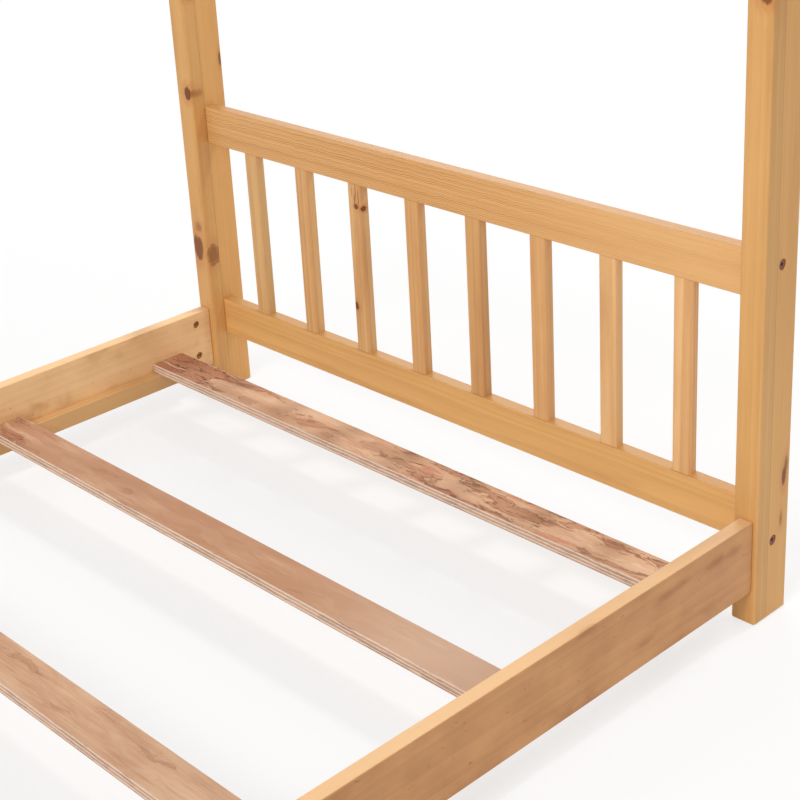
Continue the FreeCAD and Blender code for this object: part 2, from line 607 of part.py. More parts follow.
def make_bolt(name, length):
    """A socket-headed connector bolt, from half its section turned about Z."""
    body = new_body(name)
    shank = size["BoltDiameter"] / 2
    head = size["HeadDiameter"] / 2
    rise = size["HeadHeight"]
    sketch = new_sketch(body, "HalfSection", "XZ_Plane")
    reach = size[length]
    closed_outline(sketch, [(0, -rise), (head, -rise), (head, 0), (shank, 0), (shank, reach), (0, reach)])
    for index in (0, 2, 4):
        sketch.addConstraint(Sketcher.Constraint("Horizontal", index))
    for index in (1, 3, 5):
        sketch.addConstraint(Sketcher.Constraint("Vertical", index))
    sketch.addConstraint(Sketcher.Constraint("PointOnObject", 0, 1, -2))
    sketch.addConstraint(Sketcher.Constraint("PointOnObject", 2, 1, -1))
    drive(sketch, "HeadRadius", "Dims.HeadDiameter / 2", "DistanceX", 0, 1, 0, 2)
    drive(sketch, "HeadHeight", "Dims.HeadHeight", "DistanceY", 1, 1, 1, 2)
    drive(sketch, "ShankRadius", "Dims.BoltDiameter / 2", "DistanceX", 4, 2, 4, 1)
    drive(sketch, "Reach", f"Dims.{length}", "DistanceY", 3, 1, 3, 2)
    turned = body.newObject("PartDesign::Revolution", "Turned")
    turned.Profile = sketch
    turned.ReferenceAxis = (sketch, ["V_Axis"])
    turned.Angle = 360
    doc.recompute()
    socket = body.newObject("PartDesign::SubtractivePrism", "Socket")
    socket.Polygon = 6
    socket.setExpression("Circumradius", "Dims.SocketSize / 2 / cos(30)")
    socket.setExpression("Height", "Dims.SocketDepth")
    socket.setExpression("Placement.Base.z", "-Dims.HeadHeight")
    return body


def make_barrel_nut():
    body = new_body("barrel_nut_pattern")
    barrel = body.newObject("PartDesign::AdditiveCylinder", "Barrel")
    barrel.setExpression("Radius", "Dims.NutDiameter / 2")
    barrel.setExpression("Height", "Dims.NutLength")
    barrel.setExpression("Placement.Base.z", "-Dims.NutLength / 2")
    doc.recompute()
    thread_spot = ("-Dims.NutDiameter / 2", "0", "0")
    drill(body, "Thread", "Dims.BoltDiameter", "Dims.NutDiameter", thread_spot, X_AXIS)
    # The slot in the end that shows runs the same way as the thread.
    slot = body.newObject("PartDesign::SubtractiveBox", "Slot")
    slot.setExpression("Length", "Dims.NutDiameter")
    slot.setExpression("Width", "Dims.SlotWidth")
    slot.setExpression("Height", "Dims.SlotDepth")
    slot.setExpression("Placement.Base.x", "-Dims.NutDiameter / 2")
    slot.setExpression("Placement.Base.y", "-Dims.SlotWidth / 2")
    slot.setExpression("Placement.Base.z", "Dims.NutLength / 2 - Dims.SlotDepth")
    return body


def make_dowel(name, length):
    peg = doc.addObject("Part::Cylinder", name)
    peg.setExpression("Radius", "Dims.DowelDiameter / 2")
    peg.setExpression("Height", f"Dims.{length}")
    peg.setExpression("Placement.Base.z", f"-Dims.{length} / 2")
    return peg


def make_screw():
    head = doc.addObject("Part::Cone", "ScrewHead")
    head.setExpression("Radius1", "Dims.ScrewHeadDiameter / 2")
    head.setExpression("Radius2", "Dims.ScrewDiameter / 2")
    head.setExpression("Height", "Dims.ScrewHeadHeight")
    shank = doc.addObject("Part::Cylinder", "ScrewShank")
    shank.setExpression("Radius", "Dims.ScrewDiameter / 2")
    shank.setExpression("Height", "Dims.ScrewLength")
    screw = doc.addObject("Part::Fuse", "cleat_screw_pattern")
    screw.Base = head
    screw.Tool = shank
    return screw


panel_bolt = make_bolt("panel_bolt_pattern", "PanelBoltLength")
long_bolt = make_bolt("long_bolt_pattern", "LongBoltLength")
rafter_bolt = make_bolt("rafter_bolt_pattern", "RafterBoltLength")
barrel_nut = make_barrel_nut()
rail_dowel = make_dowel("rail_dowel_pattern", "DowelLength")
mitre_dowel = make_dowel("mitre_dowel_pattern", "RafterDowelLength")
cleat_screw = make_screw()
doc.recompute()


def place_group(name, pattern, places):
    """One node of separate solids: the pattern at each (spot, direction, spin about it)."""
    copies = []
    for spot, direction, spin in places:
        turned = Rotation(Z_AXIS, direction).multiply(Rotation(Z_AXIS, spin))
        solid = pattern.Shape.copy()
        solid.Placement = Placement(spot, turned).multiply(solid.Placement)
        copies.append(solid)
    group = doc.addObject("Part::Feature", name)
    group.Label = name
    group.Shape = Part.makeCompound(copies)
    return finished(group)


half_width = size["OverallWidth"] / 2
half_length = size["OverallLength"] / 2
post_x = half_width - size["PostWidth"] / 2
post_y = half_length - size["PostDepth"] / 2
post_inner_x = half_width - size["PostWidth"]
post_inner_y = half_length - size["PostDepth"]
panel_y = post_inner_y + size["RailSetback"] + size["RailThick"] / 2
side_rail_x = half_width - size["SideRailInset"] - size["SideRailThick"] / 2
ridge_middle = size["RidgeTop"] - size["RidgeHeight"] / 2
roof_pitch = math.radians(size["RoofPitch"])
eave_height = size["OverallHeight"] - half_width * math.tan(roof_pitch)
eave_drop = size["PostWidth"] * (1 / math.cos(roof_pitch) - math.tan(roof_pitch))
mitre_middle = eave_height - eave_drop / 2
CORNERS = [(side, end) for side in (1, -1) for end in (1, -1)]

# Panel rails: bolts through the posts across the bed, barrel nuts from the bed's outer end.
seat_x = half_width - size["RecessDepth"]
panel_heights = (size["UpperBoltHeight"], size["LowerBoltHeight"])
place_group("panel_bolts", panel_bolt, [
    (Vector(side * seat_x, end * panel_y, height), X_AXIS * -side, 0)
    for side, end in CORNERS for height in panel_heights
])
nut_x = post_inner_x - size["NutFromEnd"]
place_group("panel_barrel_nuts", barrel_nut, [
    (Vector(side * nut_x, end * panel_y, height), Y_AXIS * end, 0)
    for side, end in CORNERS for height in panel_heights
])
place_group("panel_dowels", rail_dowel, [
    (Vector(side * post_inner_x, end * panel_y, height), X_AXIS, 0)
    for side, end in CORNERS
    for height in (size["UpperDowelHeight"], size["LowerDowelHeight"])
])

# Side rails: two long bolts at each end, barrel nuts from the rail's inner face.
seat_y = half_length - size["RecessDepth"]
nut_y = post_inner_y - size["NutFromEnd"]
side_heights = (size["SideBoltLow"], size["SideBoltHigh"])
place_group("side_rail_bolts", long_bolt, [
    (Vector(side * side_rail_x, end * seat_y, height), Y_AXIS * -end, 0)
    for side, end in CORNERS for height in side_heights
])
place_group("side_rail_barrel_nuts", barrel_nut, [
    (Vector(side * side_rail_x, end * nut_y, height), X_AXIS * -side, 90)
    for side, end in CORNERS for height in side_heights
])

# Eave beams: one long bolt and one dowel at each end.
place_group("eave_bolts", long_bolt, [
    (Vector(side * post_x, end * seat_y, size["EaveBoltHeight"]), Y_AXIS * -end, 0)
    for side, end in CORNERS
])
place_group("eave_barrel_nuts", barrel_nut, [
    (Vector(side * post_x, end * nut_y, size["EaveBoltHeight"]), X_AXIS * -side, 90)
    for side, end in CORNERS
])
place_group("eave_dowels", rail_dowel, [
    (Vector(side * post_x, end * post_inner_y, size["EaveDowelHeight"]), Y_AXIS, 0)
    for side, end in CORNERS
])

# Ridge beam: one long bolt through each rafter.
place_group("ridge_bolts", long_bolt, [
    (Vector(side * size["RidgeBoltSpread"], end * seat_y, ridge_middle), Y_AXIS * -end, 0)
    for side, end in CORNERS
])
place_group("ridge_barrel_nuts", barrel_nut, [
    (Vector(side * size["RidgeBoltSpread"], end * nut_y, ridge_middle), -Z_AXIS, 90)
    for side, end in CORNERS
])

# Mitre joints: a bolt and two dowels at each eave, two dowels at each point of a gable.
place_group("rafter_bolts", rafter_bolt, [
    (Vector(side * post_x, end * post_y, size["RafterBoltSeat"]), -Z_AXIS, 0)
    for side, end in CORNERS
])
place_group("rafter_barrel_nuts", barrel_nut, [
    (Vector(side * post_x, end * post_y, size["PostNutHeight"]), X_AXIS * -side, 0)
    for side, end in CORNERS
])
place_group("eave_mitre_dowels", mitre_dowel, [
    (Vector(side * post_x, end * post_y + across * size["MitreDowelSpread"], mitre_middle), Z_AXIS, 0)
    for side, end in CORNERS for across in (1, -1)
])
place_group("apex_dowels", mitre_dowel, [
    (Vector(0, end * post_y + across * size["MitreDowelSpread"], size["ApexDowelHeight"]), X_AXIS, 0)
    for end in (1, -1) for across in (1, -1)
])

# Cleat screws: one below each slat, driven outwards from the cleat's inner face.
screw_x = side_rail_x - size["SideRailThick"] / 2 - size["CleatWidth"]
screw_z = size["SideRailBase"] + size["CleatHeight"] / 2
place_group("cleat_screws", cleat_screw, [
    (Vector(side * screw_x, post_inner_y - distance, screw_z), X_AXIS * side, 0)
    for side in (1, -1) for distance in slat_distances
])

doc.recompute()


# Checks before anything is written.
CUTS = (
    "PartDesign::SubtractiveCylinder",
    "PartDesign::SubtractiveCone",
    "PartDesign::SubtractivePrism",
    "PartDesign::SubtractiveBox",
    "PartDesign::LinearPattern",
)
for item in doc.Objects:
    if "Invalid" in item.State or "Error" in item.State:
        raise RuntimeError(f"{item.Label} failed to compute: {item.State}")
    if item.TypeId in CUTS:
        before = item.BaseFeature.Shape.Volume
        if item.Shape.Volume > before - 1:
            raise RuntimeError(f"{item.getParentGeoFeatureGroup().Label} {item.Label} cuts nothing")
for item in nodes:
    if item.Shape.isNull() or not item.Shape.isValid():
        raise RuntimeError(f"{item.Label} has no valid shape")

os.makedirs("parts", exist_ok=True)
for item in nodes:
    item.Shape.exportStep(f"parts/{item.Label}.step")
    box = item.Shape.BoundBox
    print(f"{item.Label}: {len(item.Shape.Solids)} solid(s), "
          f"{box.XLength:.1f} x {box.YLength:.1f} x {box.ZLength:.1f} mm, "
          f"{item.Shape.Volume / 1000:.1f} cm3")
print(f"{len(nodes)} nodes")
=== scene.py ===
# %% [markdown]
# # A house frame bed in varnished pine
# The real bed is a frame of pine boards: four posts, two panels of spindles, two side rails, six
# plywood slats, and rafters and beams that draw a house over it. The packed model already has
# every board in its place and shape, so only the floor is modelled here. What is left is the wood.
# Each board gets a material of its own, cut from its own place in a make-believe tree.

# %% Load the frame
import math
import random

import bmesh
import bpy
from mathutils import Euler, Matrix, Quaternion, Vector


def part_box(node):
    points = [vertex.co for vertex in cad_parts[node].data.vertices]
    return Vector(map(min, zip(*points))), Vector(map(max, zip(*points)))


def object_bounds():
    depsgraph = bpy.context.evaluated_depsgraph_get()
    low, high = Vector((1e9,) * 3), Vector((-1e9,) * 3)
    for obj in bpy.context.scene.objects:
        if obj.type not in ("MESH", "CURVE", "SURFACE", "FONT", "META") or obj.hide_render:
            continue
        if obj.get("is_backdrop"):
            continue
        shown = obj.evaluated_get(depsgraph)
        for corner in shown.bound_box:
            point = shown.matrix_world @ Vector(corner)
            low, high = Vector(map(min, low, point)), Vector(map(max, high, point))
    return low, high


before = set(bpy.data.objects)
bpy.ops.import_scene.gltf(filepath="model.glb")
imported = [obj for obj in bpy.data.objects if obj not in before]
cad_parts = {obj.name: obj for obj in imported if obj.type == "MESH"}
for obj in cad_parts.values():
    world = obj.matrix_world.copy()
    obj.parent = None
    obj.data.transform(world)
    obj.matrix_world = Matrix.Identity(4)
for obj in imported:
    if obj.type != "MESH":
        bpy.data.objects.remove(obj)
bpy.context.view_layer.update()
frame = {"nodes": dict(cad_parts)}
nodes = frame["nodes"]


# %% [markdown]
# ## A small language for shader maths
# Wood is many patterns laid over each other, and dozens of Math nodes placed one by one are hard to
# read. So a `Field` stands for one output of a node, and adding or multiplying two fields adds the
# node: a pattern is written as a formula. `node` adds any other kind, with its settings and the
# values or links of its inputs.

# %% Fields
class Field:
    """One output socket in a material's node tree."""

    def __init__(self, tree, socket=None):
        self.tree = tree
        self.socket = socket

    def node(self, kind, inputs=(), output=0, **settings):
        """Add a node, fill its inputs by name or number, and return one of its outputs."""
        made = self.tree.nodes.new(kind)
        for name, value in settings.items():
            setattr(made, name, value)
        for key, value in dict(inputs).items():
            if isinstance(value, Field):
                self.tree.links.new(value.socket, made.inputs[key])
            else:
                made.inputs[key].default_value = value
        return Field(self.tree, made.outputs[output])

    def math(self, operation, *others):
        """A Math node whose first value is this field."""
        return self.node("ShaderNodeMath", enumerate((self, *others)), operation=operation)

    def vector(self, operation, *others, output=0):
        """A Vector Math node whose first value is this field."""
        values = enumerate((self, *others))
        return self.node("ShaderNodeVectorMath", values, output, operation=operation)

    def __add__(self, other):
        return self.math("ADD", other)

    def __sub__(self, other):
        return self.math("SUBTRACT", other)

    def __mul__(self, other):
        return self.math("MULTIPLY", other)

    def __truediv__(self, other):
        return self.math("DIVIDE", other)

    def __rsub__(self, other):
        return self.node("ShaderNodeMath", {0: other, 1: self}, operation="SUBTRACT")

    def __rtruediv__(self, other):
        return self.node("ShaderNodeMath", {0: other, 1: self}, operation="DIVIDE")

    __radd__ = __add__
    __rmul__ = __mul__

    def ramp(self, low, high, start=0.0, end=1.0):
        """A smooth step: start where this field is at low, and end where it is at high."""
        inputs = {"Value": self, "From Min": low, "From Max": high, "To Min": start, "To Max": end}
        return self.node("ShaderNodeMapRange", inputs, interpolation_type="SMOOTHSTEP")

    def clamp(self):
        return self.node("ShaderNodeClamp", {"Value": self})

    def split(self):
        return [self.node("ShaderNodeSeparateXYZ", {0: self}, axis) for axis in range(3)]

    def scaled(self, x, y, z):
        return self.vector("MULTIPLY", (x, y, z))

    def noise(self, detail, rough):
        inputs = {"Vector": self, "Scale": 1.0, "Detail": detail, "Roughness": rough}
        return self.node("ShaderNodeTexNoise", inputs)

    def mix(self, first, second):
        """Mix two colours by this field."""
        return self.node("ShaderNodeMix", {0: self, 6: first, 7: second}, 2, data_type="RGBA")


print("Field has", len([name for name in vars(Field) if callable(getattr(Field, name))]), "methods")


# %% [markdown]
# ## Colours
# A colour is easiest to judge as it looks on a screen, from 0 to 255. The shader wants linear light,
# so a helper converts it. The view transform is Standard and the lamps are at a plain level, so a
# colour renders about as it is written.

# %% Screen colours to linear light
def screen(red, green, blue):
    channels = []
    for value in (red / 255, green / 255, blue / 255):
        channels.append(value / 12.92 if value < 0.04045 else ((value + 0.055) / 1.055) ** 2.4)
    return (*channels, 1.0)


print("mid grey is", screen(128, 128, 128)[0])


# %% [markdown]
# ## The space of a board
# Grain runs along a board, whichever way the board points. A node's object sits at the origin, so
# its Object coordinates are the bed's own metres. A Mapping node moves them to the middle of the
# board and turns them, so that x follows the grain and y and z lie across it. A UV map could do
# that too, but each board would have to be unwrapped. This way one recipe serves every board, and
# real sizes such as the width of a ring can be used in it.

# %% Coordinates along a board
ALONG_X = (0.0, 0.0, 0.0)
ALONG_Y = (0.0, 0.0, math.radians(90))
ALONG_Z = (0.0, math.radians(-90), 0.0)


def middle(name):
    low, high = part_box(name)
    return (low + high) / 2


def board_space(tree, centre, turn):
    """Object coordinates in metres from the middle of the board, with x along the grain."""
    start = Field(tree)
    place = start.node("ShaderNodeTexCoord", output="Object")
    inputs = {"Vector": place, "Location": centre, "Rotation": turn}
    return start.node("ShaderNodeMapping", inputs, vector_type="TEXTURE")


print("middle of the ridge beam:", tuple(middle("ridge_beam")))


# %% [markdown]
# ## Surfaces
# Varnished wood, rough veneer and dull metal differ in colour, gloss and relief, but all of them end
# in the same Principled shader. Colour, roughness and bump change over the surface and come from
# fields. Everything else is a plain number on the shader's own socket, because that is what an
# exported model can keep. A thin, soft coat stands for the varnish.

# %% Surfaces
def new_material(name):
    material = bpy.data.materials.new(name)
    material.use_nodes = True
    return material


def finish_surface(tree, colour, rough, bump, coat=0.0, strength=0.25, metallic=0.0):
    """Connect the fields to the material's Principled shader."""
    shader = tree.nodes["Principled BSDF"]
    shader.inputs["Coat Weight"].default_value = coat
    shader.inputs["Coat Roughness"].default_value = 0.3
    shader.inputs["Metallic"].default_value = metallic
    shader.inputs["Specular IOR Level"].default_value = 0.25
    inputs = {"Height": bump, "Strength": strength, "Distance": 0.001}
    normal = bump.node("ShaderNodeBump", inputs)
    tree.links.new(colour.socket, shader.inputs["Base Color"])
    tree.links.new(rough.socket, shader.inputs["Roughness"])
    tree.links.new(normal.socket, shader.inputs["Normal"])


def dress(name, material):
    """Give a node its material. The node's mesh isn't touched."""
    slots = nodes[name].data.materials
    if len(slots):
        slots[0] = material
    else:
        slots.append(material)


first = next(iter(nodes))
print("slots for materials on", first, "in the packed model:", len(nodes[first].data.materials))


# %% [markdown]
# ## Knots
# A knot is where a branch left the trunk: a dark heart, a darker broken rim of bark, and a reddish
# halo. It could be a painted spot, but the same ellipsoid shows on every face that it cuts, as a
# real branch does. So each knot is a distance from a point, stretched by three radii and disturbed
# by noise. A knot belongs to one stave, and is cut off at the glue line between two.

# %% Knots
KNOT_WANDER = (45, 110, 110)
RIM_BREAKS = (60, 130, 130)


def add_knots(space, knots, glue=None, beyond=None):
    """Halo, heart and rim of all knots, from the place, the radii and the strength of each."""
    marks = None
    wander = space.scaled(*KNOT_WANDER).noise(3, 0.6) - 0.5
    broken = space.scaled(*RIM_BREAKS).noise(2, 0.6).ramp(0.38, 0.58)
    for spot, radii, strength in knots:
        offset = space.vector("SUBTRACT", spot).scaled(*(1 / radius for radius in radii))
        away = offset.vector("LENGTH", output=1) + wander * 0.9
        keep = strength
        if beyond is not None:
            keep = (beyond if spot[1] > glue else 1 - beyond) * strength
        halo = away.ramp(2.8, 0.9) * keep
        heart = away.ramp(1.5 - strength * 0.45, strength * 0.8) * keep
        rim = away.ramp(0.7, 0.97) * away.ramp(1.2, 1.0) * broken * keep * strength
        found = (halo, heart, rim)
        if marks is None:
            marks = found
        else:
            marks = [old.math("MAXIMUM", new) for old, new in zip(marks, found)]
    return marks


def lay_knots(colour, marks, layers):
    """Lay halo, heart and rim over a colour, each with its amount and its own colour."""
    for mark, (amount, tone) in zip(marks, layers):
        colour = (mark * amount).mix(colour, screen(*tone))
    return colour


PINE_KNOT = ((0.42, (190, 112, 54)), (0.93, (114, 56, 8)), (0.8, (66, 30, 4)))
VENEER_KNOT = ((0.35, (164, 108, 80)), (0.35, (140, 86, 60)), (0.85, (98, 54, 36)))
print("a knot has", len(PINE_KNOT), "layers")


# %% [markdown]
# ## Growth rings
# A tree adds one ring a year, pale early wood and then darker late wood. A board shows where it was
# cut from the tree: rings cut across are fine lines, and rings cut along are broad bands. So the
# rings are cylinders round the pith, whose line runs outside the board, and slow noise makes them
# wander. A wave texture would give straight, even stripes instead.

# %% Cuts and growth rings
CUT = {
    "early": (225, 174, 108),      # colour of the early wood
    "late": (192, 134, 72),        # colour of the late wood
    "ring": 0.006,                 # width of a year's ring in metres
    "pith": (0.05, 0.02),          # from the board's middle to the middle of the tree
    "onset": 0.2,                  # where in the year the late wood begins
    "contrast": 0.35,              # how dark the late wood gets
    "wobble": 0.005,               # slow sway of the rings in metres
    "shiver": 0.0014,              # their fast waviness in metres
    "shiver_scale": (9, 60, 60),   # scale of that waviness
    "streak": 0.22,                # strength of the fibres
    "stain": 0.3,                  # strength of the clouds
    "patches": (4, 24, 24),        # scale of the clouds
    "flecks": 0.0,                 # strength of the dark flecks
    # painted_lift is painted light: the board is painted paler towards one end of its grain.
    "painted_lift": 0.0,                   # how much paler the board gets along its grain
    "fade": 0.0,                   # how much its rings vanish along its grain
    # crest is painted light along a board's top edge: a painted highlight or painted shade.
    "crest": None,                 # half the board's height and the colour of its top edge
    "seed": 1.0,                   # the board's place in the tree
}
SWAY_SCALE = (1.3, 9, 9)
KNOT_PUSH = 0.012
YEAR_SPREAD = 2.2


def growth_rings(grown, side, depth, cut, halo):
    """How much late wood shows: rings of uneven width round the pith, pushed aside by knots."""
    sway = (grown.scaled(*SWAY_SCALE).noise(2, 0.45) - 0.5) * cut["wobble"] * 3
    shiver = (grown.scaled(*cut["shiver_scale"]).noise(3, 0.55) - 0.5) * cut["shiver"]
    across = side + cut["pith"][0] + sway
    down = depth + cut["pith"][1] + sway * 0.7
    radius = (across * across + down * down).math("SQRT") + shiver
    if halo:
        radius = radius + halo * halo * KNOT_PUSH
    years = radius / cut["ring"]
    uneven = years.node("ShaderNodeCombineXYZ", {0: years * 0.6, 1: cut["seed"]})
    years = years + (uneven.noise(2, 0.6) - 0.5) * YEAR_SPREAD
    season = years.math("FRACT")
    return season.ramp(cut["onset"], 0.86) * season.ramp(1.0, 0.88)


print("a cut has", len(CUT), "settings")


# %% [markdown]
# ## Staves
# A post and a rafter are glued up from two staves, which come from different trees. Only the shader
# changes at the glue line: beyond it, the point where the wood is looked up jumps to another place.
# That is simpler than cutting the board in two, and it leaves the mesh as it is.

# %% Glue line
GLUE_HALF = 0.0002
STAVE_JUMP = (0.83, 0.31, 0.27)
RING_JUMP = (0.031, 0.019)


def two_staves(grown, side, depth, glue):
    """The share of the second stave, the dark seam, and the three fields with their jump."""
    beyond = side.ramp(glue - GLUE_HALF, glue + GLUE_HALF)
    seam = (side - glue).math("ABSOLUTE").ramp(4 * GLUE_HALF, 1.5 * GLUE_HALF)
    jump = {axis: beyond * length for axis, length in enumerate(STAVE_JUMP)}
    grown = grown.vector("ADD", beyond.node("ShaderNodeCombineXYZ", jump))
    side = side + beyond * RING_JUMP[0]
    depth = depth + beyond * RING_JUMP[1]
    return beyond, seam, grown, side, depth


print("the glue line is", GLUE_HALF * 2000, "mm wide")


# %% [markdown]
# ## Pine
# Under its varnish the pine shows more than rings: long fibres in three sizes, short resin dashes,
# cloudy figure and, on the side rails, dark flecks. A picture of wood would show all of it, but the
# same on every board. Here each pattern is noise, stretched along the grain, and most of them are
# added up into one tone from early to late wood. The fibres, rings and dashes also drive a faint
# bump and the roughness, so that the gloss breaks up where the colour does.

# %% Pine
# Noise scales per metre: along the board, across it and through it.
FIBRE_SCALE = (10, 420, 420)
HAIR_SCALE = (30, 1500, 1500)
BAND_SCALE = (2.2, 75, 75)
DASH_SCALE = (80, 1200, 1200)
FLECK_SCALE = (75, 160, 160)
BASE_TONE = 0.16
VARNISH = 0.08
PAINTED_EDGE_START, PAINTED_EDGE_END = 0.0008, 0.0002


def pine_tone(along, late_wood, fibre, hair, band, cloud, cut):
    """Where the wood lies between its early and its late colour."""
    streak = cut["streak"]
    plain = along.ramp(-0.1, 0.42) * cut["fade"]
    tone = late_wood * (1 - plain) * cut["contrast"]
    tone = tone + (fibre - 0.5) * streak * 2.0 + (hair - 0.5) * streak * 0.6
    tone = tone + (band - 0.5) * streak * 2.4 + (cloud - 0.5) * cut["stain"] * 1.8 + BASE_TONE
    # Painted light: paler along the grain, towards the end that the lamps light more.
    tone = tone - along.ramp(-0.1, 0.5) * cut["painted_lift"]
    return tone.clamp()


def pine(name, turn, knots=(), glue=None, **changes):
    """Dress a board in varnished pine. glue is where a line between two staves lies."""
    cut = {**CUT, **changes}
    seed, streak = cut["seed"], cut["streak"]
    material = new_material(name + "_pine")
    tree = material.node_tree
    space = board_space(tree, middle(name), turn)
    along, side, depth = space.split()
    grown = space.vector("ADD", (seed, seed * 0.37, seed * 0.61))
    beyond = None
    if glue:
        beyond, seam, grown, side, depth = two_staves(grown, side, depth, glue)
    marks = add_knots(space, knots, glue, beyond) if knots else None
    late_wood = growth_rings(grown, side, depth, cut, marks[0] if marks else None)

    fibre = grown.scaled(*FIBRE_SCALE).noise(3, 0.62)
    hair = grown.scaled(*HAIR_SCALE).noise(2, 0.6)
    band = grown.scaled(*BAND_SCALE).noise(3, 0.55)
    cloud = grown.scaled(*cut["patches"]).noise(3, 0.55)
    dashes = grown.scaled(*DASH_SCALE).noise(1, 0.5).ramp(0.66, 0.78)

    tone = pine_tone(along, late_wood, fibre, hair, band, cloud, cut)
    colour = tone.mix(screen(*cut["early"]), screen(*cut["late"]))
    colour = (cloud.ramp(0.55, 0.75) * cut["stain"] * 0.5).mix(colour, screen(172, 104, 56))
    colour = (dashes * streak * 0.6).mix(colour, screen(136, 80, 38))
    if cut["flecks"]:
        flecks = grown.scaled(*FLECK_SCALE).noise(2, 0.6).ramp(0.68, 0.75)
        colour = (flecks * cut["flecks"]).mix(colour, screen(124, 74, 36))
    if glue:
        colour = (beyond * 0.3).mix(colour, screen(232, 172, 98))
        colour = (seam * 0.35).mix(colour, screen(140, 90, 46))
    # Painted light along the top edge: a colour lighter or darker than the board stands in for how the
    # lamps fall there.
    if cut["crest"]:
        height, painted_edge_colour = cut["crest"]
        top = depth.ramp(height - PAINTED_EDGE_START, height - PAINTED_EDGE_END)
        colour = (top * 0.75).mix(colour, screen(*painted_edge_colour))
    if knots:
        colour = lay_knots(colour, marks, PINE_KNOT)
    bump = fibre * 0.4 + late_wood * 0.25 - dashes * 0.4
    rough = 0.44 + fibre * 0.14 - late_wood * 0.06
    finish_surface(tree, colour, rough, bump, VARNISH)
    dress(name, material)


print("a fibre is about", round(1000 / FIBRE_SCALE[1], 1), "mm wide")


# %% [markdown]
# ## Veneer
# The slats are rough plywood. Their wide faces are veneer peeled round a log, so they show blotches
# and torn patches instead of rings. The patches could be placed one by one, but there are dozens.
# So one noise field decides where the veneer is torn, and narrow steps on that same field give each
# patch its dark outline, so both always fit each other.

# %% Veneer
TEAR_SCALE = (8, 52, 3)


def veneer(grown, rough, dark):
    """The wide faces: clouds, fibres, torn patches with dark outlines, and reddish streaks."""
    cloud = grown.scaled(5, 24, 3).noise(3, 0.6)
    fibre = grown.scaled(16, 420, 10).noise(3, 0.62)
    warp = grown.scaled(18, 42, 3).noise(3, 0.6)
    swirl = grown.node("ShaderNodeCombineXYZ", {0: warp * 0.07, 1: warp * 0.03})
    bent = grown.vector("ADD", swirl)
    where = (cloud - 0.5) * 0.4 + (rough - 0.5) * 0.2 + bent.scaled(*TEAR_SCALE).noise(3, 0.55)
    torn = where.ramp(0.56, 0.66)
    outline = where.ramp(0.59, 0.62) * where.ramp(0.66, 0.63)
    crack = (bent.scaled(11, 90, 3).noise(3, 0.6) - 0.5).math("ABSOLUTE")
    crack = crack.ramp(0.017, 0.004) * where.ramp(0.49, 0.57)
    pale = where.ramp(0.46, 0.38)
    red = bent.scaled(8, 50, 3).noise(4, 0.65).ramp(0.54, 0.62)
    tone = ((cloud - 0.38) * 2.2 + (fibre - 0.5) * 1.1 + dark).clamp()
    colour = tone.mix(screen(215, 177, 144), screen(180, 134, 103))
    colour = (pale * rough * 0.5).mix(colour, screen(234, 202, 172))
    colour = (red * rough * 0.65).mix(colour, screen(184, 108, 84))
    colour = (torn * (0.2 + rough * 0.4)).mix(colour, screen(168, 112, 82))
    colour = (outline * (0.1 + rough * 0.5)).mix(colour, screen(112, 66, 42))
    colour = (crack * rough * 0.8).mix(colour, screen(92, 52, 34))
    return colour, fibre, torn * rough


print("a torn patch is about", round(1000 / TEAR_SCALE[0]), "by", round(1000 / TEAR_SCALE[1]), "mm")


# %% [markdown]
# ## Plies
# The narrow faces of a slat show its layers: every second ply is end grain and darker, with thin
# dark seams between them that break up here and there. They could be modelled as thin boards, but
# from outside only their colour shows. So the height in the slat, divided by the thickness of a
# ply, counts the layers, and a little noise keeps them from being ruled lines.

# %% Plies
PLY = 0.0024


def ply_layers(grown, depth):
    """The narrow faces: pale plies with thin dark seams between them."""
    level = depth / PLY + (grown.scaled(11, 11, 60).noise(3, 0.65) - 0.5) * 1.2
    ply = level.math("FRACT")
    seam = ply.ramp(0.2, 0.04) + ply.ramp(0.84, 0.97)
    parity = (level * 0.5).math("FRACT").ramp(0.48, 0.52)
    speckle = grown.scaled(120, 120, 900).noise(3, 0.65)
    breaks = grown.scaled(24, 24, 160).noise(3, 0.65).ramp(0.5, 0.6)
    colour = parity.mix(screen(234, 210, 189), screen(200, 164, 140))
    colour = ((speckle - 0.42) * 0.9).mix(colour, screen(168, 124, 102))
    colour = (seam * (0.2 + breaks * 0.8)).mix(colour, screen(72, 44, 37))
    return colour, seam * breaks


print("a ply is", PLY * 1000, "mm thick")


# %% [markdown]
# ## Plywood
# A slat is sawn from a sheet, so it has veneer above and below and plies all round. Two materials
# could each have their faces, but then the packed mesh would have to change. So both finishes go
# into one material, and the shader tells the faces apart by their distance from the slat's middle.
# How rough the veneer is can change along the slat, and one stretch can be painted paler and greyer,
# as a painted sheen.

# %% Plywood
EDGE_START, EDGE_END = 0.0009, 0.0003


def near_face(distance, half):
    """1 within a fraction of a millimetre of the two faces at this distance, and 0 inside."""
    return distance.math("ABSOLUTE").ramp(half - EDGE_START, half - EDGE_END)


